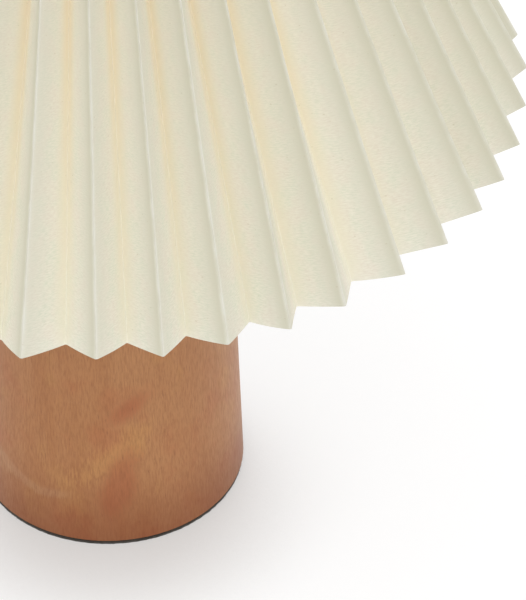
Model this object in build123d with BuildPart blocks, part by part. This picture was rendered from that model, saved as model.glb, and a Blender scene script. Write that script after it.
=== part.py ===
"""Pleated paper table lamp: a turned wooden column, a screw-in bulb and a lift-off pleated shade.

Millimetres and degrees. +Z is up. The origin is the middle of the felt's underside, on the table.
"""
import os
from math import asin, cos, degrees, radians, sin, sqrt, tan

from build123d import *

os.makedirs("parts", exist_ok=True)

# ---------------------------------------------------------------- driving sizes

# Turned wooden column and its felt
felt_thickness = 1.5
felt_inset = 0.8
column_height = 200.0
foot_radius = 50.6
column_top_radius = 43.5
foot_chamfer = 0.8
column_top_rounding = 2.5
cavity_radius = 38.0
cavity_depth = 38.0

# Iron weight in the foot
ballast_thickness = 18.0
ballast_play = 0.5
ballast_chamfer = 1.5

# Threaded tube with the nuts that clamp the column
tube_radius = 5.0
tube_bore_radius = 3.6
tube_hole_play = 0.4
tube_below_nut = 1.5
thread_play = 0.05
nut_across_flats = 14.0
nut_height = 4.0
nut_chamfer = 0.6
washer_radius = 12.0
washer_thickness = 1.5
flange_radius = 20.0
flange_thickness = 2.0
flange_chamfer = 0.8

# Cable bush in the back of the foot
outlet_height = 12.0
outlet_bore_radius = 3.3
bush_wall = 1.4
bush_flange_radius = 7.0
bush_flange_thickness = 1.6
bush_flange_chamfer = 0.5
bush_play = 0.05
spot_face_play = 0.3
spot_face_depth = 1.2

# Lampholder
cap_neck_radius = 8.0
cap_neck_height = 9.0
cap_floor = 1.8
cap_shoulder_drop = 3.0
cap_shoulder_radius = 6.0
cap_radius = 19.5
cap_height = 24.0
cap_wall = 1.8
cap_ledge_width = 2.2
grub_screw_radius = 1.5
grub_screw_height = 4.5
block_play = 0.2
block_depth = 6.5
block_step_width = 1.1
block_step_height = 2.0
terminal_screw_radius = 1.6
terminal_head_radius = 2.6
terminal_head_height = 1.4
terminal_screw_depth = 4.5
terminal_offset = 9.0
sleeve_radius = 19.75
sleeve_wall = 2.3
sleeve_height = 34.0
sleeve_lip_height = 2.0
sleeve_lip_play = 0.9
shoulder_radius = 24.5
shoulder_thickness = 3.0
shell_wall = 0.5
shell_height = 26.0
contact_thickness = 0.6
contact_width = 6.0
contact_length = 18.0
contact_rise = 4.0

# Opal bulb
bulb_cap_radius = 13.0
bulb_shell_play = 0.3
bulb_contact_gap = 0.3
tip_contact_radius = 4.8
tip_contact_height = 1.2
insulator_height = 3.3
insulator_top_radius = 10.3
bulb_cap_height = 21.0
bulb_cap_wall = 0.4
bulb_cap_taper = 1.6
collar_height = 26.0
collar_wall = 1.4
collar_spigot = 9.0
globe_radius = 17.5
globe_height = 47.0
globe_wall = 1.0
globe_tip_radius = 6.5
led_plate_thickness = 1.6
led_plate_seat = 1.2
led_count = 8
led_size = 2.8
led_height = 0.8
led_circle_radius = 9.5
driver_width = 17.0
driver_thickness = 1.2

# Pleated paper shade
pleat_count = 44
hem_radius = 150.0
ridge_lean = 27.0
crease_length = 212.0
facet_width = 19.4
valley_hem_rise = 1.7
paper_thickness = 0.4
crease_spans = 6
first_ridge_bearing = -91.63

# Wire frame of the shade
fitter_above_hem = 55.65
fitter_bore_radius = 21.0
fitter_outer_radius = 30.0
fitter_thickness = 1.5
top_ring_wire = 1.5
top_ring_from_top = 10.0
hoop_wire = 1.25
hoop_from_hem = 25.0
arm_wire = 1.5
arm_reach = 9.0
arm_bend_radius = 7.0
strut_wire = 1.25
strut_overrun = 2.0
weld_depth = 0.3
paper_play = 0.02
wire_group_count = 3
first_arm_bearing = -90.0

# Ring that screws down on the fitter
seat_gap = 0.05
shade_ring_play = 0.3
shade_ring_height = 10.0
shade_ring_wall = 3.2
shade_ring_flange_radius = 27.0
shade_ring_flange_height = 2.5
grip_notch_count = 24
grip_notch_radius = 1.2

# ---------------------------------------------------------------- heights and radii that follow

wood_z = felt_thickness
cavity_z = wood_z + cavity_depth
column_top_z = wood_z + column_height
tube_hole_radius = tube_radius + tube_hole_play
thread_bore_radius = tube_radius + thread_play

ballast_z = cavity_z - ballast_thickness
washer_z = ballast_z - washer_thickness
lower_nut_z = washer_z - nut_height
tube_z = lower_nut_z - tube_below_nut
upper_nut_z = column_top_z + flange_thickness

holder_z = upper_nut_z + nut_height
cap_top_z = holder_z + cap_height
shoulder_z = cap_top_z + shoulder_thickness
tube_top_z = holder_z + cap_neck_height
block_z = cap_top_z - block_depth
block_top_z = cap_top_z + block_step_height
cap_inner_radius = cap_radius - cap_wall
block_radius = cap_inner_radius - block_play
block_step_radius = sleeve_radius - sleeve_wall - block_step_width
shell_inner_radius = bulb_cap_radius + bulb_shell_play
sleeve_inner_radius = sleeve_radius - sleeve_wall
sleeve_lip_radius = bulb_cap_radius + sleeve_lip_play
sleeve_top_z = cap_top_z + sleeve_height

bulb_z = block_top_z + contact_rise + bulb_contact_gap
insulator_z = bulb_z + tip_contact_height
bulb_cap_z = insulator_z + insulator_height
bulb_cap_top_z = bulb_cap_z + bulb_cap_height
collar_top_z = bulb_cap_top_z + collar_height
bulb_cap_inner_radius = bulb_cap_radius - bulb_cap_wall

fitter_z = shoulder_z + seat_gap
shade_ring_z = fitter_z + fitter_thickness + seat_gap
shade_ring_bore_radius = sleeve_radius + shade_ring_play
hem_z = fitter_z - fitter_above_hem


def column_radius_at(height):
    """Outer radius of the tapered column, at a height above the foot of the wood."""
    return foot_radius - (foot_radius - column_top_radius) * height / column_height


def at_bearing(radius, bearing, height):
    """A point from its distance to the lamp's axis, its bearing about +Z and its height."""
    return (radius * cos(radians(bearing)), radius * sin(radians(bearing)), height)


def upright_plane(bearing):
    """The half plane through the lamp's axis at a bearing: x runs outwards and y runs up."""
    outwards = at_bearing(1, bearing, 0)
    return Plane(origin=(0, 0, 0), x_dir=outwards, z_dir=(outwards[1], -outwards[0], 0))


# ---------------------------------------------------------------- column, felt and weight

with BuildPart() as felt_pad:
    with BuildSketch():
        Circle(foot_radius - felt_inset)
    extrude(amount=felt_thickness)
felt_pad.part.label = "felt_pad"
export_step(felt_pad.part, "parts/felt_pad.step")

spot_face_y = column_radius_at(outlet_height) - spot_face_depth
outlet_plane = Plane(
    origin=(0, spot_face_y, wood_z + outlet_height), x_dir=(1, 0, 0), z_dir=(0, 1, 0)
)
bush_neck_radius = outlet_bore_radius + bush_wall
bush_neck_length = spot_face_y - cavity_radius

with BuildPart() as wood_column:
    with BuildSketch(Plane.XZ):
        with BuildLine():
            Polyline(
                (tube_hole_radius, cavity_z),
                (tube_hole_radius, column_top_z),
                (column_top_radius, column_top_z),
                (foot_radius, wood_z),
                (cavity_radius, wood_z),
                (cavity_radius, cavity_z),
                close=True,
            )
        make_face()
    revolve(axis=Axis.Z)
    fillet(wood_column.edges().group_by(Axis.Z)[-1].sort_by(SortBy.LENGTH)[-1], column_top_rounding)
    chamfer(wood_column.edges().group_by(Axis.Z)[0].sort_by(SortBy.LENGTH)[-1], foot_chamfer)
    with BuildSketch(outlet_plane):
        Circle(bush_flange_radius + spot_face_play)
    extrude(amount=foot_radius, mode=Mode.SUBTRACT)
    with BuildSketch(outlet_plane):
        Circle(bush_neck_radius + bush_play)
    extrude(amount=-(bush_neck_length + bush_neck_radius), mode=Mode.SUBTRACT)
wood_column.part.label = "wood_column"
export_step(wood_column.part, "parts/wood_column.step")

with BuildPart() as cable_bush:
    with BuildSketch(outlet_plane):
        Circle(bush_flange_radius)
    extrude(amount=bush_flange_thickness)
    chamfer(cable_bush.edges().group_by(Axis.Y)[-1], bush_flange_chamfer)
    with BuildSketch(outlet_plane):
        Circle(bush_neck_radius)
    extrude(amount=-bush_neck_length)
    with BuildSketch(outlet_plane):
        Circle(outlet_bore_radius)
    extrude(amount=bush_flange_thickness + bush_neck_length, both=True, mode=Mode.SUBTRACT)
cable_bush.part.label = "cable_bush"
export_step(cable_bush.part, "parts/cable_bush.step")

with BuildPart() as ballast:
    with BuildSketch(Plane.XY.offset(ballast_z)):
        Circle(cavity_radius - ballast_play)
        Circle(tube_hole_radius, mode=Mode.SUBTRACT)
    extrude(amount=ballast_thickness)
    chamfer(ballast.edges().group_by(Axis.Z)[0].sort_by(SortBy.LENGTH)[-1], ballast_chamfer)
ballast.part.label = "ballast"
export_step(ballast.part, "parts/ballast.step")

# ---------------------------------------------------------------- tube, washer and nuts

with BuildPart() as threaded_tube:
    with BuildSketch(Plane.XY.offset(tube_z)):
        Circle(tube_radius)
        Circle(tube_bore_radius, mode=Mode.SUBTRACT)
    extrude(amount=tube_top_z - tube_z)
threaded_tube.part.label = "threaded_tube"
export_step(threaded_tube.part, "parts/threaded_tube.step")

with BuildPart() as ballast_washer:
    with BuildSketch(Plane.XY.offset(washer_z)):
        Circle(washer_radius)
        Circle(tube_hole_radius, mode=Mode.SUBTRACT)
    extrude(amount=washer_thickness)
ballast_washer.part.label = "ballast_washer"
export_step(ballast_washer.part, "parts/ballast_washer.step")


def hex_nut(bottom_z):
    """A hexagon nut for the tube, its corners turned off at both ends."""
    corner_radius = nut_across_flats / sqrt(3)
    with BuildPart() as nut:
        with BuildSketch(Plane.XY.offset(bottom_z)):
            RegularPolygon(nut_across_flats / 2, 6, major_radius=False)
            Circle(thread_bore_radius, mode=Mode.SUBTRACT)
        extrude(amount=nut_height)
        with BuildSketch(Plane.XZ):
            with BuildLine():
                Polyline(
                    (0, bottom_z),
                    (corner_radius - nut_chamfer, bottom_z),
                    (corner_radius, bottom_z + nut_chamfer / 2),
                    (corner_radius, bottom_z + nut_height - nut_chamfer / 2),
                    (corner_radius - nut_chamfer, bottom_z + nut_height),
                    (0, bottom_z + nut_height),
                    close=True,
                )
            make_face()
        revolve(axis=Axis.Z, mode=Mode.INTERSECT)
    return nut


ballast_nut = hex_nut(lower_nut_z)
ballast_nut.part.label = "ballast_nut"
export_step(ballast_nut.part, "parts/ballast_nut.step")

with BuildPart() as top_flange:
    with BuildSketch(Plane.XY.offset(column_top_z)):
        Circle(flange_radius)
        Circle(tube_hole_radius, mode=Mode.SUBTRACT)
    extrude(amount=flange_thickness)
    chamfer(top_flange.edges().group_by(Axis.Z)[-1].sort_by(SortBy.LENGTH)[-1], flange_chamfer)
top_flange.part.label = "top_flange"
export_step(top_flange.part, "parts/top_flange.step")

top_nut = hex_nut(upper_nut_z)
top_nut.part.label = "top_nut"
export_step(top_nut.part, "parts/top_nut.step")

# ---------------------------------------------------------------- lampholder

cap_ledge_radius = cap_inner_radius - cap_ledge_width
grub_screw_z = holder_z + grub_screw_height

with BuildPart() as holder_cap:
    with BuildSketch(Plane.XZ):
        with BuildLine():
            FilletPolyline(
                (thread_bore_radius, holder_z),
                (cap_neck_radius, holder_z),
                (cap_neck_radius, tube_top_z),
                (cap_radius, tube_top_z + cap_shoulder_drop),
                (cap_radius, cap_top_z),
                (cap_inner_radius, cap_top_z),
                (cap_inner_radius, block_z),
                (cap_ledge_radius, block_z),
                (cap_neck_radius, tube_top_z + cap_floor),
                (thread_bore_radius, tube_top_z + cap_floor),
                radius=[0, 0, 0, cap_shoulder_radius, 0, 0, 0, 0, 0, 0],
                close=True,
            )
        make_face()
    revolve(axis=Axis.Z)
    with BuildSketch(Plane.YZ.offset(tube_radius)):
        with Locations((0, grub_screw_z)):
            Circle(grub_screw_radius + thread_play)
    extrude(amount=cap_neck_radius, mode=Mode.SUBTRACT)
holder_cap.part.label = "holder_cap"
export_step(holder_cap.part, "parts/holder_cap.step")

with BuildPart() as grub_screw:
    with BuildSketch(Plane.YZ.offset(tube_radius)):
        with Locations((0, grub_screw_z)):
            Circle(grub_screw_radius)
    extrude(amount=cap_neck_radius - tube_radius)
grub_screw.part.label = "grub_screw"
export_step(grub_screw.part, "parts/grub_screw.step")

terminal_places = GridLocations(2 * terminal_offset, 0, 2, 1)

with BuildPart() as terminal_block:
    with BuildSketch(Plane.XZ):
        with BuildLine():
            Polyline(
                (0, block_z),
                (block_radius, block_z),
                (block_radius, cap_top_z),
                (block_step_radius, cap_top_z),
                (block_step_radius, block_top_z),
                (0, block_top_z),
                close=True,
            )
        make_face()
    revolve(axis=Axis.Z)
    with BuildSketch(Plane.XY.offset(block_z)):
        with terminal_places:
            Circle(terminal_screw_radius + thread_play)
    extrude(amount=terminal_screw_depth, mode=Mode.SUBTRACT)
terminal_block.part.label = "terminal_block"
export_step(terminal_block.part, "parts/terminal_block.step")

with BuildPart() as terminal_screws:
    with BuildSketch(Plane.XY.offset(block_z)):
        with terminal_places:
            Circle(terminal_screw_radius)
    extrude(amount=terminal_screw_depth)
    with BuildSketch(Plane.XY.offset(block_z)):
        with terminal_places:
            Circle(terminal_head_radius)
    extrude(amount=-terminal_head_height)
terminal_screws.part.label = "terminal_screws"
export_step(terminal_screws.part, "parts/terminal_screws.step")

with BuildPart() as centre_contact:
    with BuildSketch(Plane.XZ.offset(-contact_width / 2)):
        with BuildLine():
            Polyline(
                (-contact_length / 2, block_top_z),
                (-contact_length / 4, block_top_z),
                (0, block_top_z + contact_rise - contact_thickness),
                (contact_length / 4, block_top_z + contact_rise - contact_thickness),
                (contact_length / 4, block_top_z + contact_rise),
                (-contact_thickness, block_top_z + contact_rise),
                (-contact_length / 4 - contact_thickness, block_top_z + contact_thickness),
                (-contact_length / 2, block_top_z + contact_thickness),
                close=True,
            )
        make_face()
    extrude(amount=contact_width)
centre_contact.part.label = "centre_contact"
export_step(centre_contact.part, "parts/centre_contact.step")

with BuildPart() as screw_shell:
    with BuildSketch(Plane.XY.offset(block_top_z)):
        Circle(shell_inner_radius + shell_wall)
        Circle(shell_inner_radius, mode=Mode.SUBTRACT)
    extrude(amount=shell_height)
screw_shell.part.label = "screw_shell"
export_step(screw_shell.part, "parts/screw_shell.step")

with BuildPart() as holder_sleeve:
    with BuildSketch(Plane.XZ):
        with BuildLine():
            Polyline(
                (sleeve_inner_radius, cap_top_z),
                (shoulder_radius, cap_top_z),
                (shoulder_radius, shoulder_z),
                (sleeve_radius, shoulder_z),
                (sleeve_radius, sleeve_top_z),
                (sleeve_lip_radius, sleeve_top_z),
                (sleeve_lip_radius, sleeve_top_z - sleeve_lip_height),
                (sleeve_inner_radius, sleeve_top_z - sleeve_lip_height),
                close=True,
            )
        make_face()
    revolve(axis=Axis.Z)
holder_sleeve.part.label = "holder_sleeve"
export_step(holder_sleeve.part, "parts/holder_sleeve.step")

# ---------------------------------------------------------------- bulb

with BuildPart() as bulb_tip_contact:
    with BuildSketch(Plane.XY.offset(bulb_z)):
        Circle(tip_contact_radius)
    extrude(amount=tip_contact_height)
bulb_tip_contact.part.label = "bulb_tip_contact"
export_step(bulb_tip_contact.part, "parts/bulb_tip_contact.step")

with BuildPart() as bulb_insulator:
    with BuildSketch(Plane.XZ):
        with BuildLine():
            Polyline(
                (0, insulator_z),
                (tip_contact_radius, insulator_z),
                (insulator_top_radius, bulb_cap_z),
                (0, bulb_cap_z),
                close=True,
            )
        make_face()
    revolve(axis=Axis.Z)
bulb_insulator.part.label = "bulb_insulator"
export_step(bulb_insulator.part, "parts/bulb_insulator.step")

with BuildPart() as bulb_cap:
    with BuildSketch(Plane.XZ):
        with BuildLine():
            Polyline(
                (insulator_top_radius - bulb_cap_wall, bulb_cap_z),
                (insulator_top_radius, bulb_cap_z),
                (bulb_cap_radius, bulb_cap_z + bulb_cap_taper),
                (bulb_cap_radius, bulb_cap_top_z),
                (bulb_cap_inner_radius, bulb_cap_top_z),
                (bulb_cap_inner_radius, bulb_cap_z + bulb_cap_taper + bulb_cap_wall),
                (insulator_top_radius - bulb_cap_wall, bulb_cap_z + bulb_cap_wall),
                close=True,
            )
        make_face()
    revolve(axis=Axis.Z)
bulb_cap.part.label = "bulb_cap"
export_step(bulb_cap.part, "parts/bulb_cap.step")

led_plate_z = collar_top_z - led_plate_thickness - led_plate_seat
led_plate_radius = globe_radius - collar_wall

with BuildPart() as bulb_collar:
    with BuildSketch(Plane.XZ):
        with BuildLine():
            Polyline(
                (bulb_cap_inner_radius - collar_wall, bulb_cap_top_z - collar_spigot),
                (bulb_cap_inner_radius, bulb_cap_top_z - collar_spigot),
                (bulb_cap_inner_radius, bulb_cap_top_z),
                (bulb_cap_radius, bulb_cap_top_z),
                (globe_radius, led_plate_z),
                (globe_radius, collar_top_z),
                (led_plate_radius, collar_top_z),
                (led_plate_radius, led_plate_z),
                (led_plate_radius - collar_wall, led_plate_z),
                (bulb_cap_inner_radius - collar_wall, bulb_cap_top_z),
                close=True,
            )
        make_face()
    revolve(axis=Axis.Z)
bulb_collar.part.label = "bulb_collar"
export_step(bulb_collar.part, "parts/bulb_collar.step")

with BuildPart() as led_plate:
    with BuildSketch(Plane.XY.offset(led_plate_z)):
        Circle(led_plate_radius)
    extrude(amount=led_plate_thickness)
led_plate.part.label = "led_plate"
export_step(led_plate.part, "parts/led_plate.step")

with BuildPart() as led_chips:
    with BuildSketch(Plane.XY.offset(led_plate_z + led_plate_thickness)):
        with PolarLocations(led_circle_radius, led_count):
            Rectangle(led_size, led_size)
    extrude(amount=led_height)
led_chips.part.label = "led_chips"
export_step(led_chips.part, "parts/led_chips.step")

with BuildPart() as driver_board:
    with BuildSketch(Plane.XZ.offset(-driver_thickness / 2)):
        with BuildLine():
            Polyline(
                (-driver_width / 2, bulb_cap_top_z - collar_spigot),
                (driver_width / 2, bulb_cap_top_z - collar_spigot),
                (driver_width / 2, led_plate_z),
                (-driver_width / 2, led_plate_z),
                close=True,
            )
        make_face()
    extrude(amount=driver_thickness)
driver_board.part.label = "driver_board"
export_step(driver_board.part, "parts/driver_board.step")


# The flank's circle is centred level with the globe's rim, and the tip's circle touches it inside.
tip_centre_z = collar_top_z + globe_height - globe_tip_radius
tip_rise = tip_centre_z - collar_top_z
narrowing = globe_radius - globe_tip_radius
flank_reach = (tip_rise**2 - narrowing**2) / (2 * narrowing)


def globe_profile(inset):
    """Half the outline of the candle-shaped globe, or of its inside at the wall's inset."""
    share = (globe_tip_radius - inset) / (flank_reach + narrowing)
    meeting = (share * flank_reach, tip_centre_z + share * tip_rise)
    Line((0, collar_top_z), (globe_radius - inset, collar_top_z))
    flank = TangentArc((globe_radius - inset, collar_top_z), meeting, tangent=(0, 1))
    TangentArc(meeting, (0, tip_centre_z + globe_tip_radius - inset), tangent=flank % 1)
    Line((0, tip_centre_z + globe_tip_radius - inset), (0, collar_top_z))


with BuildPart() as bulb_globe:
    with BuildSketch(Plane.XZ):
        with BuildLine():
            globe_profile(0)
        make_face()
    revolve(axis=Axis.Z)
    with BuildSketch(Plane.XZ):
        with BuildLine():
            globe_profile(globe_wall)
        make_face()
    revolve(axis=Axis.Z, mode=Mode.SUBTRACT)
bulb_globe.part.label = "bulb_globe"
export_step(bulb_globe.part, "parts/bulb_globe.step")

# ---------------------------------------------------------------- pleated paper
# The sheet is folded into ridges and valleys with creases one facet width apart, and gathered
# into a cone, so the pleats are open at the hem and nearly closed at the top. The top edge runs
# square to the ridges, and so does the hem, but for a small rise into each valley. A facet of even
# width between creases that draw together is slightly twisted, so each is laid out in spans of
# two flat triangles.

half_pitch = 180 / pleat_count
lean = radians(ridge_lean)
hem_ridge = (hem_radius, hem_z)
top_ridge = (hem_radius - crease_length * sin(lean), hem_z + crease_length * cos(lean))


def valley_beside(ridge):
    """Radius and height of the valley point one facet width from a ridge point, on its rim."""
    spread = tan(radians(half_pitch))
    a = 1 / cos(lean) ** 2 + spread**2
    b = 2 * ridge[0] * spread**2
    c = (ridge[0] * spread) ** 2 - facet_width**2
    inwards = (-b - sqrt(b**2 - 4 * a * c)) / (2 * a)
    return ((ridge[0] + inwards) / cos(radians(half_pitch)), ridge[1] + inwards * tan(lean))


def under_side(point, valley):
    """The same fold on the paper's inner face: folded paper is thickest along its crease."""
    half_fold = asin(valley[0] * sin(radians(half_pitch)) / facet_width)
    depth = paper_thickness / sin(half_fold)
    return (point[0] - depth * cos(lean), point[1] - depth * sin(lean))


def partway(lower, upper, share):
    """The point at a share of the way up a crease."""
    return tuple(low + (high - low) * share for low, high in zip(lower, upper))


def zigzag(ridge, valley):
    """The closed line through all ridges and valleys of one rim of the sheet."""
    points = []
    for pleat in range(pleat_count):
        bearing = first_ridge_bearing + 2 * half_pitch * pleat
        points.append(at_bearing(ridge[0], bearing, ridge[1]))
        points.append(at_bearing(valley[0], bearing + half_pitch, valley[1]))
    return points


def folded_band(rim, next_rim):
    """Flat triangles between two zigzag rims, two for each facet, mirrored at every crease."""
    faces = []
    for start in range(len(rim)):
        end = (start + 1) % len(rim)
        if start % 2 == 0:
            corners = [(rim[start], rim[end], next_rim[end])]
            corners.append((rim[start], next_rim[end], next_rim[start]))
        else:
            corners = [(rim[start], rim[end], next_rim[start])]
            corners.append((rim[end], next_rim[end], next_rim[start]))
        faces += [Face(Wire.make_polygon(triangle)) for triangle in corners]
    return faces


top_valley = valley_beside(top_ridge)
hem_valley = partway(valley_beside(hem_ridge), top_valley, valley_hem_rise / crease_length)
inner_hem_ridge = under_side(hem_ridge, hem_valley)
inner_top_ridge = under_side(top_ridge, top_valley)
inner_hem_valley = under_side(hem_valley, hem_valley)
inner_top_valley = under_side(top_valley, top_valley)
shares = [step / crease_spans for step in range(crease_spans + 1)]
outer_rims = [
    zigzag(partway(hem_ridge, top_ridge, share), partway(hem_valley, top_valley, share))
    for share in shares
]
inner_rims = [
    zigzag(
        partway(inner_hem_ridge, inner_top_ridge, share),
        partway(inner_hem_valley, inner_top_valley, share),
    )
    for share in shares
]
sheet_faces = folded_band(outer_rims[0], inner_rims[0])
sheet_faces += folded_band(outer_rims[-1], inner_rims[-1])
for rims in (outer_rims, inner_rims):
    for rim, next_rim in zip(rims, rims[1:]):
        sheet_faces += folded_band(rim, next_rim)

with BuildPart() as pleated_shade:
    add(Solid(Shell(sheet_faces)))
pleated_shade.part.label = "pleated_shade"
export_step(pleated_shade.part, "parts/pleated_shade.step")

# ---------------------------------------------------------------- wire frame of the shade
# Both rings lie in the valleys, against the inside of the paper. Struts join them, and arms drop
# from the top ring to the fitter that sits on the lampholder's shoulder.

valley_run = inner_hem_valley[0] - inner_top_valley[0]
valley_rise = inner_top_valley[1] - inner_hem_valley[1]
valley_length = sqrt(valley_run**2 + valley_rise**2)
valley_up = (-valley_run / valley_length, valley_rise / valley_length)
valley_inwards = (-valley_up[1], valley_up[0])


def inside_valley(along, depth):
    """Radius and height at a distance up the valley from the hem, and a depth inside the paper."""
    radius = inner_hem_valley[0] + along * valley_up[0] + depth * valley_inwards[0]
    height = inner_hem_valley[1] + along * valley_up[1] + depth * valley_inwards[1]
    return (radius, height)


top_ring_along = valley_length - top_ring_from_top
top_ring_centre = inside_valley(top_ring_along, top_ring_wire + paper_play)
hoop_centre = inside_valley(hoop_from_hem, hoop_wire + paper_play)

with BuildPart() as top_ring:
    with BuildSketch(Plane.XZ):
        with Locations(top_ring_centre):
            Circle(top_ring_wire)
    revolve(axis=Axis.Z)
top_ring.part.label = "top_ring"
export_step(top_ring.part, "parts/top_ring.step")

with BuildPart() as lower_hoop:
    with BuildSketch(Plane.XZ):
        with Locations(hoop_centre):
            Circle(hoop_wire)
    revolve(axis=Axis.Z)
lower_hoop.part.label = "lower_hoop"
export_step(lower_hoop.part, "parts/lower_hoop.step")

with BuildPart() as fitter_ring:
    with BuildSketch(Plane.XY.offset(fitter_z)):
        Circle(fitter_outer_radius)
        Circle(fitter_bore_radius, mode=Mode.SUBTRACT)
    extrude(amount=fitter_thickness)
fitter_ring.part.label = "fitter_ring"
export_step(fitter_ring.part, "parts/fitter_ring.step")

arm_foot_z = fitter_z + fitter_thickness / 2
arm_top_z = top_ring_centre[1] - top_ring_wire + weld_depth
group_angle = 360 / wire_group_count

for number in range(wire_group_count):
    with BuildPart() as frame_arm:
        with BuildLine(upright_plane(first_arm_bearing + number * group_angle)) as arm_route:
            FilletPolyline(
                (fitter_outer_radius - weld_depth, arm_foot_z),
                (fitter_outer_radius + arm_reach, arm_foot_z),
                (top_ring_centre[0], arm_top_z),
                radius=arm_bend_radius,
            )
        with BuildSketch(Plane(origin=arm_route.line @ 0, z_dir=arm_route.line % 0)):
            Circle(arm_wire)
        sweep()
    frame_arm.part.label = f"frame_arm_{number + 1}"
    export_step(frame_arm.part, f"parts/frame_arm_{number + 1}.step")

strut_foot = inside_valley(
    hoop_from_hem - strut_overrun, 2 * hoop_wire + paper_play + strut_wire - weld_depth
)
strut_top = inside_valley(
    top_ring_along + strut_overrun, 2 * top_ring_wire + paper_play + strut_wire - weld_depth
)

for number in range(wire_group_count):
    strut_bearing = first_arm_bearing + (number + 0.5) * group_angle
    with BuildPart() as frame_strut:
        with BuildLine(upright_plane(strut_bearing)) as strut_route:
            Line(strut_foot, strut_top)
        with BuildSketch(Plane(origin=strut_route.line @ 0, z_dir=strut_route.line % 0)):
            Circle(strut_wire)
        sweep()
    frame_strut.part.label = f"frame_strut_{number + 1}"
    export_step(frame_strut.part, f"parts/frame_strut_{number + 1}.step")

# ---------------------------------------------------------------- ring that holds the shade down

shade_ring_radius = shade_ring_bore_radius + shade_ring_wall

with BuildPart() as shade_ring:
    with BuildSketch(Plane.XY.offset(shade_ring_z)):
        Circle(shade_ring_flange_radius)
        with PolarLocations(shade_ring_flange_radius, grip_notch_count):
            Circle(grip_notch_radius, mode=Mode.SUBTRACT)
    extrude(amount=shade_ring_flange_height)
    with BuildSketch(Plane.XY.offset(shade_ring_z)):
        Circle(shade_ring_radius)
    extrude(amount=shade_ring_height)
    with BuildSketch(Plane.XY.offset(shade_ring_z)):
        Circle(shade_ring_bore_radius)
    extrude(amount=shade_ring_height, mode=Mode.SUBTRACT)
shade_ring.part.label = "shade_ring"
export_step(shade_ring.part, "parts/shade_ring.step")
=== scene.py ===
"""Pleated paper table lamp: the looks of its paper, wood, felt, metal and plastic.

Metres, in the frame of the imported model. +Z is up, and the lamp stands on z = 0.
"""

from math import cos, dist, pi, radians, sin, sqrt, tan

import bmesh
import bpy
from mathutils import Matrix, Vector, noise


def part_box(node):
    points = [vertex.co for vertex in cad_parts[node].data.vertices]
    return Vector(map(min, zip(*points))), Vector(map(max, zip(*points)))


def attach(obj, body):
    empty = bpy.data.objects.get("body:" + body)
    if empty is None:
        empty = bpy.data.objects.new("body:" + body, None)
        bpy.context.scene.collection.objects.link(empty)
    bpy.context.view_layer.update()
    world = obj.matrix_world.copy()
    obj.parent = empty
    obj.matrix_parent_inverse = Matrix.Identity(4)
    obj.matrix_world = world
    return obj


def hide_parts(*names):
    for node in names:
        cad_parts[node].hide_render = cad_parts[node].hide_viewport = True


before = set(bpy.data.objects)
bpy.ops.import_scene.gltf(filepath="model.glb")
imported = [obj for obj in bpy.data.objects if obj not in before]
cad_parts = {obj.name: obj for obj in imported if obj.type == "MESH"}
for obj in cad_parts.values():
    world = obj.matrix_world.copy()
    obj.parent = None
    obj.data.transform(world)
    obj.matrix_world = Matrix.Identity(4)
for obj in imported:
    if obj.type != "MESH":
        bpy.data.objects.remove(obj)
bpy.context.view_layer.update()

# ---------------------------------------------------------------- sizes of the lamp

MM = 0.001

# The pleated sheet.
PLEATS = 44
HALF_PITCH = pi / PLEATS
FIRST_RIDGE = radians(-91.63)
HEM_RADIUS = 150.0 * MM
HEM_Z = 178.9 * MM
LEAN = radians(27.0)
TWIST = radians(1.2)
CREASE_LENGTH = 212.0 * MM
FACET_WIDTH = 19.4 * MM
VALLEY_HEM_RISE = 1.7 * MM
PAPER = 0.4 * MM

# Turned and threaded pieces, whose lengths are in millimetres.
SLEEVE_PITCH = 2.5
CAP_PITCH = 3.62
CRIMPS = 24
GRIPS = 24
FELT_SPREAD = 0.65

# Points nearer than MERGED become one, edges that turn by more than SHARP stay sharp, and
# numbers nearer than CLOSE are taken as the same.
MERGED = 0.01 * MM
SHARP = radians(32)
CLOSE = 0.001

# ---------------------------------------------------------------- building node trees


def plug_named(sockets, name):
    """The socket of that name that the node's settings leave in use."""
    if isinstance(name, int):
        return sockets[name]
    return next(s for s in sockets if s.name == name and s.enabled)


class Value:
    """A number on a socket. Sums with it make Math nodes in the same tree."""

    def __init__(self, tree, socket):
        self.tree = tree
        self.socket = socket

    def __add__(self, other):
        return self.tree.math("ADD", self, other)

    def __radd__(self, other):
        return self.tree.math("ADD", other, self)

    def __sub__(self, other):
        return self.tree.math("SUBTRACT", self, other)

    def __rsub__(self, other):
        return self.tree.math("SUBTRACT", other, self)

    def __mul__(self, other):
        return self.tree.math("MULTIPLY", self, other)

    def __rmul__(self, other):
        return self.tree.math("MULTIPLY", other, self)

    def __truediv__(self, other):
        return self.tree.math("DIVIDE", self, other)


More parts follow.
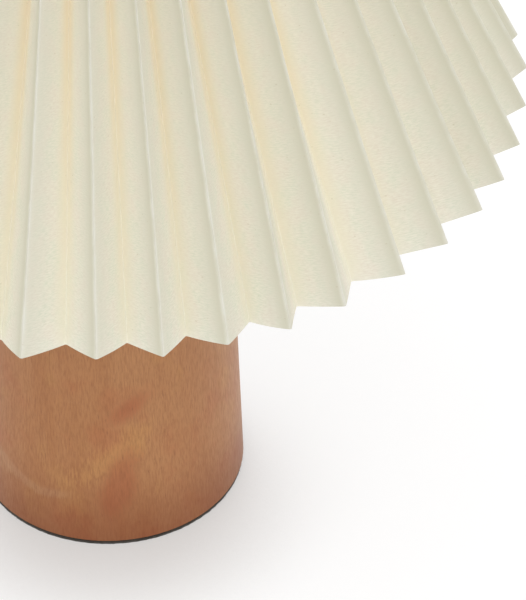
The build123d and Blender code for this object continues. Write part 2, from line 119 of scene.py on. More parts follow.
class Tree:
    """A node tree that is filled node by node."""

    def __init__(self, node_tree):
        self.tree = node_tree

    def node(self, kind, plugs=None, **settings):
        new = self.tree.nodes.new(kind)
        for setting, value in settings.items():
            setattr(new, setting, value)
        for name, value in (plugs or {}).items():
            self.plug(value, plug_named(new.inputs, name))
        return new

    def plug(self, value, socket):
        if isinstance(value, Value):
            self.tree.links.new(value.socket, socket)
        elif isinstance(value, bpy.types.NodeSocket):
            self.tree.links.new(value, socket)
        else:
            socket.default_value = value

    def out(self, node, name=0):
        return Value(self, plug_named(node.outputs, name))

    def math(self, operation, *values):
        new = self.node("ShaderNodeMath", dict(enumerate(values)), operation=operation)
        return Value(self, new.outputs[0])

    def sin(self, value):
        return self.math("SINE", value)

    def cos(self, value):
        return self.math("COSINE", value)

    def between(self, low, high, share):
        """The value at a share of the way from low to high."""
        return low + (high - low) * share

    def vector(self, x=0.0, y=0.0, z=0.0):
        return self.out(self.node("ShaderNodeCombineXYZ", {0: x, 1: y, 2: z}))

    def axes(self, vector):
        """The X, Y and Z of a vector."""
        parts = self.node("ShaderNodeSeparateXYZ", {0: vector})
        return [self.out(parts, axis) for axis in "XYZ"]

    def shaped(self, shape, kind, plugs=None, **settings):
        """The shape after one more geometry node."""
        return self.out(self.node(kind, {"Geometry": shape} | (plugs or {}), **settings))


# ---------------------------------------------------------------- objects

STAGE = bpy.context.scene.collection


def new_object(name, mesh, material=None):
    """An object at the origin, with its place in its mesh."""
    piece = bpy.data.objects.new(name, mesh)
    STAGE.objects.link(piece)
    if material is not None:
        mesh.materials.clear()
        mesh.materials.append(material)
    return piece


def dress(piece, body, slot, *nodes):
    """The piece rides on its body and stands for the nodes, which are hidden. The slot is not used.
    """
    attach(piece, body)
    if nodes:
        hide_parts(*nodes)


def new_geometry_tree(name, inputs):
    """A geometry tree with the named inputs, and the values that they carry."""
    tree = Tree(bpy.data.node_groups.new(name, "GeometryNodeTree"))
    kinds = {float: "NodeSocketFloat", int: "NodeSocketInt"}
    for label, value in inputs.items():
        kind = kinds.get(type(value), "NodeSocketMaterial")
        socket = tree.tree.interface.new_socket(label, in_out="INPUT", socket_type=kind)
        if kind != "NodeSocketMaterial":
            socket.default_value = value
    tree.tree.interface.new_socket("Mesh", in_out="OUTPUT", socket_type="NodeSocketGeometry")
    entry = tree.node("NodeGroupInput")
    return tree, {label: tree.out(entry, label) for label in inputs}


def grow(name, tree, inputs):
    """The plain mesh that a geometry tree makes from its inputs, as an object."""
    maker = bpy.data.objects.new(name + "_maker", bpy.data.meshes.new(name + "_start"))
    STAGE.objects.link(maker)
    modifier = maker.modifiers.new("grow", "NODES")
    modifier.node_group = tree.tree
    for item in tree.tree.interface.items_tree:
        if item.in_out == "INPUT":
            modifier[item.identifier] = inputs[item.name]
    view = bpy.context.evaluated_depsgraph_get()
    mesh = bpy.data.meshes.new_from_object(maker.evaluated_get(view), depsgraph=view)
    maker.modifiers.remove(modifier)
    bpy.data.objects.remove(maker)
    mesh.name = name
    return new_object(name, mesh)


def smoothed(tree, shape):
    return tree.shaped(shape, "GeometryNodeSetShadeSmooth", {"Shade Smooth": True})


def laid_out(tree, points, shape, turn, scale=(1.0, 1.0, 1.0)):
    """A smooth copy of the shape on each point, turned and scaled as asked there."""
    rotation = tree.node("FunctionNodeEulerToRotation", {0: turn})
    copies = tree.node(
        "GeometryNodeInstanceOnPoints",
        {
            "Points": points,
            "Instance": smoothed(tree, shape),
            "Rotation": tree.out(rotation),
            "Scale": scale,
        },
    )
    return tree.out(copies)


def finish_tree(tree, shape, material):
    """The usual end of a geometry tree: one plain mesh with its material."""
    plain = tree.shaped(shape, "GeometryNodeRealizeInstances")
    painted = tree.shaped(plain, "GeometryNodeSetMaterial", {"Material": material})
    tree.plug(painted, tree.node("NodeGroupOutput").inputs[0])
    return tree


# ---------------------------------------------------------------- materials


def new_group(name, inputs):
    """A shader group with named inputs, and the values that they carry."""
    tree = Tree(bpy.data.node_groups.new(name, "ShaderNodeTree"))
    for label, value in inputs.items():
        kind = "NodeSocketVector" if value is None else "NodeSocketFloat"
        socket = tree.tree.interface.new_socket(label, in_out="INPUT", socket_type=kind)
        if value is not None:
            socket.default_value = value
    entry = tree.node("NodeGroupInput")
    return tree, {label: tree.out(entry, label) for label in inputs}


def end_group(tree, outputs):
    """The finished group, which puts out the named values."""
    for label in outputs:
        tree.tree.interface.new_socket(label, in_out="OUTPUT", socket_type="NodeSocketFloat")
    way_out = tree.node("NodeGroupOutput")
    for label, value in outputs.items():
        tree.plug(value, way_out.inputs[label])
    return tree.tree


def new_material(name, **constants):
    """A Principled material whose constants sit on the shader's own sockets."""
    material = bpy.data.materials.new(name)
    material.use_nodes = True
    tree = Tree(material.node_tree)
    shader = material.node_tree.nodes["Principled BSDF"]
    for label, value in constants.items():
        plug_named(shader.inputs, label.replace("_", " ")).default_value = value
    return material, tree, shader


def sRGB(red, green, blue):
    """The linear colour of an sRGB one from 0 to 255."""
    def linear(level):
        level /= 255
        return level / 12.92 if level <= 0.04045 else ((level + 0.055) / 1.055) ** 2.4

    return (linear(red), linear(green), linear(blue), 1.0)


def mapped(tree, vector, scale, turn=(0, 0, 0)):
    node = tree.node(
        "ShaderNodeMapping", {"Vector": vector, "Scale": scale, "Rotation": turn}
    )
    return tree.out(node)


def noise_at(tree, vector, scale=1.0, detail=2.0, roughness=0.5):
    node = tree.node(
        "ShaderNodeTexNoise",
        {"Vector": vector, "Scale": scale, "Detail": detail, "Roughness": roughness},
    )
    return tree.out(node, 0)


def remap(tree, value, low, high, to_low=0.0, to_high=1.0):
    node = tree.node(
        "ShaderNodeMapRange",
        {0: value, 1: low, 2: high, 3: to_low, 4: to_high},
        interpolation_type="SMOOTHSTEP",
    )
    return tree.out(node)


def mix_colour(tree, share, low, high):
    node = tree.node("ShaderNodeMix", data_type="RGBA")
    tree.plug(share, node.inputs[0])
    tree.plug(low, node.inputs[6])
    tree.plug(high, node.inputs[7])
    return Value(tree, node.outputs[2])


def layered(tree, colour, layers):
    """The colour with others laid on it, each given as where it lies, its share and its sRGB."""
    for where, share, over in layers:
        colour = mix_colour(tree, where * share, colour, sRGB(*over))
    return colour


def bump(tree, height, strength):
    """The normal of a surface whose height varies by up to 0.1 mm."""
    node = tree.node(
        "ShaderNodeBump", {"Height": height, "Strength": strength, "Distance": 0.1 * MM}
    )
    return tree.out(node)


def attribute(tree, name):
    return tree.out(tree.node("ShaderNodeAttribute", attribute_name=name), "Fac")


def paper_fibre_group():
    """Pressed fibres that run across the sheet: their tone, stray flecks and relief."""
    tree, given = new_group("paper_fibre", {"Sheet": None})
    sheet = given["Sheet"]
    threads = noise_at(tree, mapped(tree, sheet, (0.5, 2.4, 1.0)), 1.0, 3.0, 0.6)
    grain = noise_at(tree, sheet, 3.5)
    flecks = noise_at(tree, mapped(tree, sheet, (0.8, 1.4, 1.0)), 0.9, 0.0)
    return end_group(tree, {
        "Thread": threads,
        "Cloud": noise_at(tree, sheet, 0.12),
        "Fleck": remap(tree, flecks, 0.8, 0.87),
        "Height": threads * 0.7 + grain * 0.3,
    })


def paper_material():
    """Cream paper, with a painted highlight on each ridge and painted yellowish light in the folds.

    A painted grey shade lies beside the ridge, and is darker on the second facet of each pleat,
    which is painted as the shaded side. The folds are painted lighter, their yellowish tone is
    painted bounce light, and the paper is painted lighter towards the top. "pocket" is 0 on a
    crease that stands out and 1 deep in a fold, and "along" is 0 at the hem and 1 at the top.
    The folds also glow faintly, a painted light given off through emission.
    """
    material, tree, shader = new_material(
        "pleated_cream_paper", Roughness=0.86, Specular_IOR_Level=0.2, Emission_Strength=1.0
    )
    sheet = tree.out(tree.node("ShaderNodeUVMap", uv_map="sheet"))
    pocket = attribute(tree, "pocket")
    along = attribute(tree, "along")
    unrolled = tree.axes(sheet)[0]
    pleat = tree.math("FRACT", unrolled / (2 * FACET_WIDTH / MM))
    shaded_facet = tree.math("GREATER_THAN", pleat, 0.5)
    fibre = tree.node("ShaderNodeGroup", {"Sheet": sheet}, node_tree=paper_fibre_group())
    threads = remap(tree, tree.out(fibre, "Thread"), 0.3, 0.7)
    cloudy = remap(tree, tree.out(fibre, "Cloud"), 0.35, 0.65)
    # Painted shade: a grey strip beside each ridge, darker on the second facet of each pleat, which
    # is painted as the shaded side.
    painted_ridge_shade = remap(tree, pocket, 0.62, 0.0) * (0.6 + 0.32 * shaded_facet)
    # Painted shadow: a darker strip next to the ridge on that second facet.
    painted_facet_shadow = remap(tree, pocket, 0.3, 0.0) * shaded_facet
    # Painted light: the folds are painted lighter, against the shade deep in them.
    inner = remap(tree, pocket, 0.55, 1.0)
    # Painted bounce light: a yellowish tone in the folds, stronger towards the top.
    fold_bounce_light = remap(tree, pocket, 0.61, 0.94) * (0.04 + along)
    # Painted highlight: a pale line along each ridge.
    line = remap(tree, pocket, 0.1, 0.0) * (0.28 + 0.35 * cloudy)
    cream = layered(
        tree,
        mix_colour(tree, cloudy, sRGB(235, 227, 212), sRGB(227, 229, 211)),
        (
            # Painted light: the paper is painted lighter towards the top.
            (along, 0.65, (252, 246, 236)),
            (threads, 0.9, (247, 243, 229)),
            (painted_ridge_shade, 1.0, (220, 217, 199)),
            (painted_facet_shadow, 0.4, (203, 200, 175)),
            (inner, 0.7, (242, 239, 223)),
            (fold_bounce_light, 0.75, (246, 226, 184)),
            (line, 1.0, (239, 237, 227)),
            (tree.out(fibre, "Fleck"), 0.35, (198, 188, 160)),
        ),
    )
    tree.plug(cream, shader.inputs["Base Color"])
    # Painted light: the folds give off a faint glow of their own, through emission.
    through = remap(tree, pocket, 0.35, 1.0) * (0.24 + 0.4 * along)
    glow = mix_colour(tree, through, (0, 0, 0, 1), (0.2, 0.2, 0.2, 1))
    tree.plug(glow, shader.inputs["Emission Color"])
    tree.plug(bump(tree, tree.out(fibre, "Height"), 0.5), shader.inputs["Normal"])
    return material


def wood_grain_group():
    """Upright grain in turned wood: fine fibres, pores, broad figure, blotches and pale marks."""
    tree, given = new_group("wood_grain", {"Place": None})
    upright = (0, 0, 0)
    return end_group(tree, {
        label: noise_at(tree, mapped(tree, given["Place"], scale, turn), 1.0, detail, 0.58)
        for label, scale, turn, detail in (
            ("Fibre", (1750, 1750, 250), upright, 4.0),
            ("Pore", (2400, 2400, 240), upright, 1.0),
            ("Figure", (60, 60, 9), upright, 3.0),
            ("Red", (52, 52, 40), (0.5, 0.35, 0.0), 3.0),
            ("Gold", (64, 64, 36), (-0.4, 0.2, 1.0), 2.0),
            ("Mark", (15, 15, 95), (0.5, -0.6, 0.2), 2.0),
        )
    })


def from_middle(tree, place, middle, reach, lean=0.0):
    """Distance from the middle of an oval figure in the wood's front, as a share of its reach."""
    local = tree.node(
        "ShaderNodeMapping",
        {"Vector": place, "Location": middle, "Scale": reach, "Rotation": (0.0, -lean, 0.0)},
        vector_type="TEXTURE",
    )
    length = tree.node("ShaderNodeVectorMath", {0: tree.out(local)}, operation="LENGTH")
    return tree.out(length, "Value")


def wood_material():
    """Satin reddish wood with upright grain, a flamed front, and painted shade at its foot.

    The flames are ovals with ragged edges, two red and one golden. The bow is a part of a pale
    ring at the left of the front, which fades upwards and to the right. The lowest 40 mm are
    painted darker, as shade near the floor.
    """
    material, tree, shader = new_material("oiled_reddish_wood", Specular_IOR_Level=0.5)
    place = tree.out(tree.node("ShaderNodeTexCoord"), "Object")
    sideways, _, height = tree.axes(place)
    grain = tree.node("ShaderNodeGroup", {"Place": place}, node_tree=wood_grain_group())
    fibre = tree.out(grain, "Fibre")
    blotch = tree.out(grain, "Red")
    ragged = (blotch - 0.5) * 1.8 + (fibre - 0.5) * 0.9
    high_flame, gold_flame, low_flame = (
        from_middle(tree, place, middle, reach, radians(lean)) + ragged
        for middle, reach, lean in (
            ((0.006, -0.0475, 0.0655), (0.0145, 0.03, 0.0068), 42),
            ((0.001, -0.048, 0.045), (0.024, 0.03, 0.0085), 45),
            ((0.002, -0.049, 0.03), (0.025, 0.03, 0.0077), 80),
        )
    )
    ring = from_middle(tree, place, (-0.025, 0.0, 0.045), (0.023, 1.0, 0.023)) + ragged * 0.12
    bow = remap(tree, tree.math("ABSOLUTE", ring - 1), 0.17, 0.0)
    bow = bow * remap(tree, height, 0.044, 0.026) * remap(tree, sideways, -0.01, -0.024)
    figure = remap(tree, tree.out(grain, "Figure"), 0.3, 0.7)
    wood = layered(
        tree,
        mix_colour(tree, figure, sRGB(179, 119, 70), sRGB(191, 134, 85)),
        (
            (remap(tree, value, low, high), share, colour)
            for value, low, high, share, colour in (
                (blotch, 0.5, 0.68, 0.3, (179, 96, 53)),
                (tree.out(grain, "Gold"), 0.54, 0.68, 0.3, (204, 150, 86)),
                (tree.out(grain, "Mark"), 0.63, 0.75, 0.3, (205, 160, 114)),
                (high_flame, 1.0, 0.3, 0.5, (172, 86, 46)),
                (gold_flame, 1.0, 0.3, 0.5, (206, 150, 88)),
                (low_flame, 1.0, 0.3, 0.5, (172, 86, 46)),
                (bow, 0.0, 1.0, 0.25, (214, 174, 134)),
                (fibre, 0.35, 0.7, 0.37, (140, 84, 49)),
                (tree.out(grain, "Pore"), 0.64, 0.78, 0.3, (100, 56, 32)),
                # Painted shade: darker towards the floor, over the lowest 40 mm.
                (height, 0.04, 0.0, 0.5, (126, 50, 11)),
            )
        ),
    )
    tree.plug(wood, shader.inputs["Base Color"])
    tree.plug(remap(tree, fibre, 0.3, 0.75, 0.4, 0.52), shader.inputs["Roughness"])
    tree.plug(bump(tree, fibre, 0.2), shader.inputs["Normal"])
    return material


def surface_wear_group():
    """Slight unevenness of a made surface: cloudy tone, fine grit and faint rubbing marks."""
    tree, given = new_group("surface_wear", {"Place": None, "Grit Scale": 2000.0})
    place = given["Place"]
    return end_group(tree, {
        "Cloud": noise_at(tree, place, 70.0, 3.0),
        "Grit": noise_at(tree, place, given["Grit Scale"]),
        "Rub": noise_at(tree, mapped(tree, place, (160, 160, 900), (0.3, 0.2, 0.1))),
    })


wear_group = surface_wear_group()


def made_finish(name, low, high, rough, grit_scale, relief, **constants):
    """A finish between two colours and two roughnesses, with its own grit and relief."""
    material, tree, shader = new_material(name, **constants)
    place = tree.out(tree.node("ShaderNodeTexCoord"), "Object")
    wear = tree.node(
        "ShaderNodeGroup", {"Place": place, "Grit Scale": grit_scale}, node_tree=wear_group
    )
    cloud = remap(tree, tree.out(wear, "Cloud"), 0.3, 0.7)
    rub = remap(tree, tree.out(wear, "Rub"), 0.35, 0.75)
    tree.plug(mix_colour(tree, cloud, sRGB(*low), sRGB(*high)), shader.inputs["Base Color"])
    tree.plug(tree.between(*rough, rub), shader.inputs["Roughness"])
    tree.plug(bump(tree, tree.out(wear, "Grit"), relief), shader.inputs["Normal"])
    return material


# ---------------------------------------------------------------- pleated shade


def valley_beside(ridge):
    """Radius and height of the valley point one facet width from a ridge point, on its rim."""
    spread = tan(HALF_PITCH)
    # The way inwards solves a x^2 + b x + c = 0.
    a = 1 / cos(LEAN) ** 2 + spread**2
    b = 2 * ridge[0] * spread**2
    c = (ridge[0] * spread) ** 2 - FACET_WIDTH**2
    inwards = (-b - sqrt(b**2 - 4 * a * c)) / (2 * a)
    return ((ridge[0] + inwards) / cos(HALF_PITCH), ridge[1] + inwards * tan(LEAN))


def crease_depth(valley):
    """How far folded paper of this thickness reaches inwards at a crease."""
    return PAPER * FACET_WIDTH / (valley[0] * sin(HALF_PITCH))


def drawn(tree, number, low, high, seed):
    """A random value between low and high that stays the same for each number."""
    random = tree.node(
        "FunctionNodeRandomValue",
        {"Min": low, "Max": high, "ID": number, "Seed": seed},
        data_type="FLOAT",
    )
    return tree.out(random, "Value")


def crease_bearing(tree, given, kind, number, half, along):
    """The bearing of a crease at a share of its length. half is 0 for a ridge, 0.5 for a valley.

    It leans with the sheet's twist, and is a little uneven, as a crease folded by hand is.
    """
    seed = given[kind + " Seed"]
    sideways = drawn(tree, number, -1.0, 1.0, seed) * given[kind + " Wander"] * (1 - along)
    waver = drawn(tree, number, -1.0, 1.0, seed + 1) * given["Waver"] * tree.sin(along * pi)
    bearing = given["First Ridge"] + (number + half) * (2 * pi) / given["Pleats"]
    bearing = bearing + given["Twist"] * along
    return bearing + (sideways + waver) / given["Ridge Hem Radius"]


def pleated_tree(inputs):
    """A closed sheet of paper folded into ridges and valleys around a cone.

    It is a bent grid. Its columns go round the cone. Its rows go up the outside and down the
    inside, and the last row lies on the first.
    """
    tree, given = new_geometry_tree("pleated_cone", inputs)
    steps = given["Pleats"] * 2 * given["Columns"]
    rounds = 2 * given["Rows"] + 2
    grid = tree.node(
        "GeometryNodeMeshGrid",
        {"Size X": 1.0, "Size Y": 1.0, "Vertices X": steps + 1, "Vertices Y": rounds + 1},
    )
    flat_x, flat_y, _ = tree.axes(tree.out(tree.node("GeometryNodeInputPosition")))
    column = tree.math("ROUND", (flat_x + 0.5) * steps)
    row = tree.math("MODULO", tree.math("ROUND", (flat_y + 0.5) * rounds), rounds)
    inner = tree.math("GREATER_THAN", row, given["Rows"])
    along = (row + inner * (2 * given["Rows"] + 1 - 2 * row)) / given["Rows"]
    to_hem = 1 - along

    # CLOSE keeps the whole numbers from being rounded down.
    facet = tree.math("FLOOR", column / given["Columns"] + CLOSE)
    share = column / given["Columns"] - facet
    spread = 0.5 - 0.5 * tree.cos(share * pi)
    parity = tree.math("MODULO", facet, 2.0)
    fold = tree.math("ABSOLUTE", parity - spread)
    ridge = tree.math("MODULO", tree.math("FLOOR", (facet + 1) * 0.5), given["Pleats"])
    valley = tree.math("MODULO", tree.math("FLOOR", facet * 0.5), given["Pleats"])
    depth = inner * tree.between(given["Hem Depth"], given["Top Depth"], along)

    def crease_point(kind, number, half):
        """X, Y and Z of the crease of that number, at this share of its length."""
        seed = given[kind + " Seed"]
        sink = drawn(tree, number, -1.0, 0.0, seed + 2) * given[kind + " Sink"] * to_hem
        bearing = crease_bearing(tree, given, kind, number, half, along)
        radius = tree.between(given[kind + " Hem Radius"], given[kind + " Top Radius"], along)
        radius = radius + sink - depth * given["Lean Cosine"]
        height = tree.between(given[kind + " Hem Height"], given[kind + " Top Height"], along)
        height = height - depth * given["Lean Sine"]
        return radius * tree.cos(bearing), radius * tree.sin(bearing), height

    ridge_point = crease_point("Ridge", ridge, 0.0)
    valley_point = crease_point("Valley", valley, 0.5)
    across = given["Facet Width"]
    outer_edge, inner_edge = fold * across, (1 - fold) * across
    round_width = given["Crease Round"] + given["Hem Round"] * (to_hem * to_hem)

    def rounding(distance):
        """1 at a crease, and 0 where its rounding ends."""
        near = tree.math("MAXIMUM", 1 - distance / round_width, 0.0)
        return near * near

    soft = rounding(inner_edge) - rounding(outer_edge)
    pull = soft * round_width * given["Crease Pull"]
    hem_only = tree.math("MAXIMUM", 1 - along * given["Rows"], 0.0)
    tip_blunt = rounding(outer_edge) * given["Tip Blunt"] * hem_only
    bow = drawn(tree, facet, -0.3, 1.0, given["Bow Seed"]) * given["Bow"] * 4 * fold * (1 - fold)
    bow = bow * tree.between(given["Top Bow"], 1.0, to_hem)
    glued = tree.math("COMPARE", facet, given["Glued Facet"], 0.5) * (1 - inner)
    seam = tree.math("MINIMUM", 1.0, fold * (1 - fold) * given["Seam Steepness"])
    bow = (bow + seam * glued * given["Paper Thickness"]) * (1 - 2 * parity)

    x, y, z = (tree.between(a, b, fold) for a, b in zip(ridge_point, valley_point))
    bearing = tree.math("ARCTAN2", y, x)
    east, north = tree.cos(bearing), tree.sin(bearing)
    x = x + east * pull - north * bow
    y = y + north * pull + east * bow

    shape = tree.out(grid, "Mesh")
    pocket = fold + inner * (1 - 2 * fold)
    rim = tree.math("COMPARE", tree.math("ABSOLUTE", along - 0.5), 0.5, CLOSE)
    sheet = tree.vector((facet + spread) * across / MM, along * given["Crease Length"] / MM)
    for label, value, domain, kind in (
        ("pocket", pocket, "POINT", "FLOAT"),
        ("along", along, "POINT", "FLOAT"),
        ("rim", rim, "POINT", "FLOAT"),
        ("sheet", sheet, "CORNER", "FLOAT2"),
    ):
        shape = tree.shaped(
            shape, "GeometryNodeStoreNamedAttribute", {"Name": label, "Value": value},
            domain=domain, data_type=kind,
        )
    place = tree.vector(x, y, z + tip_blunt)
    shape = tree.shaped(shape, "GeometryNodeSetPosition", {"Position": place})
    shape = tree.shaped(shape, "GeometryNodeMergeByDistance", {"Distance": MERGED})
    stored = tree.node("GeometryNodeInputNamedAttribute", {"Name": "rim"}, data_type="FLOAT")
    on_rim = tree.math("GREATER_THAN", tree.out(stored, "Attribute"), 0.9)
    shape = tree.shaped(
        smoothed(tree, shape), "GeometryNodeSetShadeSmooth",
        {"Selection": on_rim, "Shade Smooth": False}, domain="EDGE",
    )
    return finish_tree(tree, shape, given["Paper"])


ridge_hem = (HEM_RADIUS, HEM_Z)
ridge_top = (HEM_RADIUS - CREASE_LENGTH * sin(LEAN), HEM_Z + CREASE_LENGTH * cos(LEAN))
valley_top = valley_beside(ridge_top)
hem_rise = VALLEY_HEM_RISE / CREASE_LENGTH
valley_hem = tuple(
    low + (high - low) * hem_rise for low, high in zip(valley_beside(ridge_hem), valley_top)
)
crease_inputs = {
    "Pleats": PLEATS,
    "First Ridge": FIRST_RIDGE,
    "Ridge Hem Radius": ridge_hem[0],
    "Ridge Wander": 2.4 * MM,
    "Valley Wander": 2.0 * MM,
    "Waver": 0.4 * MM,
    "Twist": TWIST,
    "Ridge Seed": 332718,
    "Valley Seed": 89477,
}


def make_shade():
    """The sheet of paper. Its seeds give the hem about the uneven tips that the photo shows."""
    inputs = crease_inputs | {
        "Columns": 10,
        "Rows": 24,
        "Ridge Hem Height": ridge_hem[1],
        "Ridge Top Radius": ridge_top[0],
        "Ridge Top Height": ridge_top[1],
        "Valley Hem Radius": valley_hem[0],
        "Valley Hem Height": valley_hem[1],
        "Valley Top Radius": valley_top[0],
        "Valley Top Height": valley_top[1],
        "Hem Depth": crease_depth(valley_hem),
        "Top Depth": crease_depth(valley_top),
        "Lean Cosine": cos(LEAN),
        "Lean Sine": sin(LEAN),
        "Facet Width": FACET_WIDTH,
        "Crease Length": CREASE_LENGTH,
        "Crease Round": 0.5 * MM,
        "Hem Round": 0.3 * MM,
        "Crease Pull": 0.3,
        "Tip Blunt": 0.05 * MM,
        "Ridge Sink": 1.2 * MM,
        "Valley Sink": 0.0,
        "Bow": 0.9 * MM,
        "Top Bow": 0.3,
        "Bow Seed": 20,
        "Glued Facet": PLEATS + 3,
        "Seam Steepness": 14.0,
        "Paper Thickness": PAPER,
        "Paper": paper_material(),
    }
    shade = grow("shade_paper", pleated_tree(inputs), inputs)
    dress(shade, "shade", "pleated_paper", "pleated_shade")


# ---------------------------------------------------------------- ties of the paper


def ties_tree(inputs):
    """A small coil of thread at each valley, round the wire that the paper is tied to."""
    tree, given = new_geometry_tree("thread_ties", inputs)
    points = tree.node("GeometryNodeMeshLine", {"Count": given["Pleats"]}, mode="OFFSET")
    number = tree.out(tree.node("GeometryNodeInputIndex"))
    bearing = crease_bearing(tree, given, "Valley", number, 0.5, given["Along"])
    ring = given["Ring Radius"]
    place = tree.vector(ring * tree.cos(bearing), ring * tree.sin(bearing), given["Ring Height"])
    placed = tree.shaped(
        tree.out(points, "Mesh"), "GeometryNodeSetPosition", {"Position": place}
    )
    turns = 3
    coil = tree.node(
        "GeometryNodeCurveSpiral",
        {
            "Resolution": 14,
            "Rotations": turns,
            "Start Radius": given["Coil Radius"],
            "End Radius": given["Coil Radius"],
            "Height": given["Thread Radius"] * (2 * turns),
        },
    )
    half_down = tree.vector(z=given["Thread Radius"] * -turns)
    centred = tree.shaped(
        tree.out(coil, "Curve"), "GeometryNodeTransform", {"Translation": half_down}
    )
    laid = tree.shaped(centred, "GeometryNodeTransform", {"Rotation": (pi / 2, 0.0, 0.0)})
    profile = tree.node(
        "GeometryNodeCurvePrimitiveCircle", {"Resolution": 6, "Radius": given["Thread Radius"]}
    )
    thread = tree.node(
        "GeometryNodeCurveToMesh",
        {"Curve": laid, "Profile Curve": tree.out(profile, "Curve"), "Fill Caps": True},
    )
    lean = drawn(tree, number, -0.25, 0.25, given["Tie Seed"])
    tied = laid_out(tree, placed, tree.out(thread, "Mesh"), tree.vector(lean, 0.0, bearing))
    return finish_tree(tree, tied, given["Thread"])


def wire_circle(node):
    """Radius and height of a wire ring's centre line, and half its wire's thickness."""
    low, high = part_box(node)
    wire = (high.z - low.z) / 2
    return (high.x - low.x) / 2 - wire, (high.z + low.z) / 2, wire


def make_ties(thread):
    creases = {label: value for label, value in crease_inputs.items()
               if label not in ("Ridge Wander", "Ridge Seed")}
    for node, name in (("top_ring", "top_ties"), ("lower_hoop", "hoop_ties")):
        radius, height, wire = wire_circle(node)
        inputs = creases | {
            "Along": (height - HEM_Z) / (ridge_top[1] - HEM_Z),
            "Ring Radius": radius,
            "Ring Height": height,
            "Thread Radius": 0.22 * MM,
            "Coil Radius": wire + 0.24 * MM,
            "Tie Seed": 3,
            "Thread": thread,
        }
        dress(grow(name, ties_tree(inputs), inputs), "shade", "pleated_paper")


# ---------------------------------------------------------------- turned and threaded pieces


def turned(name, outline, material, steps, radius_at):
    """A closed solid of revolution about Z, from (radius, height, kind) points in millimetres.

    The outline runs up the outside and down the inside. Where a point has a kind, radius_at
    changes its radius with the bearing, for threads, grips, crimps and ragged edges.
    """
    count = len(outline)
    verts, faces = [], []
    for step in range(steps):
        angle = 2 * pi * step / steps
        for radius, height, kind in outline:
            if kind:
                radius = radius_at(radius, height, kind, angle)
            verts.append((radius * cos(angle) * MM, radius * sin(angle) * MM, height * MM))
    for step in range(steps):
        after = (step + 1) % steps
        for point in range(count):
            above = (point + 1) % count
            if outline[point][0] == 0 and outline[above][0] == 0:
                continue
            faces.append((
                step * count + point, after * count + point,
                after * count + above, step * count + above,
            ))
    mesh = bpy.data.meshes.new(name)
    mesh.from_pydata(verts, [], faces)
    shell = bmesh.new()
    shell.from_mesh(mesh)
    bmesh.ops.remove_doubles(shell, verts=shell.verts, dist=MERGED)
    bmesh.ops.dissolve_degenerate(shell, edges=shell.edges, dist=MERGED / 10)
    loose = [v for v in shell.verts if not v.link_faces]
    bmesh.ops.delete(shell, geom=loose, context="VERTS")
    for face in shell.faces:
        face.smooth = True
    for edge in shell.edges:
        if len(edge.link_faces) == 2:
            edge.smooth = edge.calc_face_angle() < SHARP
    shell.to_mesh(mesh)
    shell.free()
    return new_object(name, mesh, material)


def corners(*places, kind=None):
    """Outline points of one kind at the given radii and heights."""
    return [(radius, height, kind) for radius, height in places]


def run_between(start, end, step, kind):
    """Points from one outline point to another, close enough together for a thread."""
    count = max(1, round(dist(start, end) / step))
    return [
        (*(a + (b - a) * number / count for a, b in zip(start, end)), kind)
        for number in range(count + 1)
    ]


def clamped(value):
    """The value, held between 0 and 1."""
    return min(1.0, max(0.0, value))


def thread_wave(height, angle, pitch, low, high, rounded):
    """0 on the crest of a right-hand thread and 1 at its root, running out at both ends.

    A rolled thread is rounded. A moulded one has a flat root and steep flanks.
    """
    phase = (height / pitch - angle / (2 * pi)) % 1.0
    if rounded:
        wave = 0.5 - 0.5 * cos(2 * pi * phase)
    else:
        root_excess, flank_slope = 1.8, 4.4
        wave = clamped(root_excess - abs(phase - 0.5) * flank_slope)
    runout = clamped(min(height - low, high - height) / (0.6 * pitch))
    return wave * runout * runout * (3 - 2 * runout)


def millimetres(node):
    """Lowest and highest height and largest radius of a node, in millimetres."""
    low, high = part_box(node)
    return low.z / MM, high.z / MM, (high.x - low.x) / 2 / MM


def make_holder_sleeve(plastic):
    """The outer sleeve of the lampholder: a shoulder, and a thread for the ring."""
    low, high, shoulder = millimetres("holder_sleeve")
    seat, body, bore, lip, lip_thickness = low + 3.0, 19.75, 17.45, 13.9, 2.0
    thread_depth = 0.85

    def radius_at(radius, height, kind, angle):
        wave = thread_wave(height, angle, SLEEVE_PITCH, seat + 1.5, high - 1.5, False)
        return radius - thread_depth * wave

    outline = corners((shoulder - 0.5, low), (shoulder, low + 0.5), (shoulder, seat - 0.4),
                      (shoulder - 0.4, seat))
    outline += run_between((body, seat + 0.02), (body, high - 0.7), 0.3, "thread")
    outline += corners((body - 0.6, high), (lip + 0.3, high), (lip, high - 0.3),
                       (lip, high - lip_thickness), (bore, high - lip_thickness), (bore, low))
    dress(turned("threaded_sleeve", outline, plastic, 144, radius_at), "base",
          "holder_plastic", "holder_sleeve")


def make_screw_shell(brass):
    """The rolled brass shell that the bulb's cap screws into."""
    low, high, outer = millimetres("screw_shell")
    inner = outer - 0.5
    thread_depth = 0.75

    def radius_at(radius, height, kind, angle):
        wave = thread_wave(height, angle, CAP_PITCH, low + 1.5, high - 0.5, True)
        return radius + thread_depth * wave

    outline = run_between((outer, low), (outer, high), 0.4, "thread")
    outline += run_between((inner, high), (inner, low), 0.4, "thread")
    dress(turned("rolled_screw_shell", outline, brass, 72, radius_at), "base", "brass",
          "screw_shell")


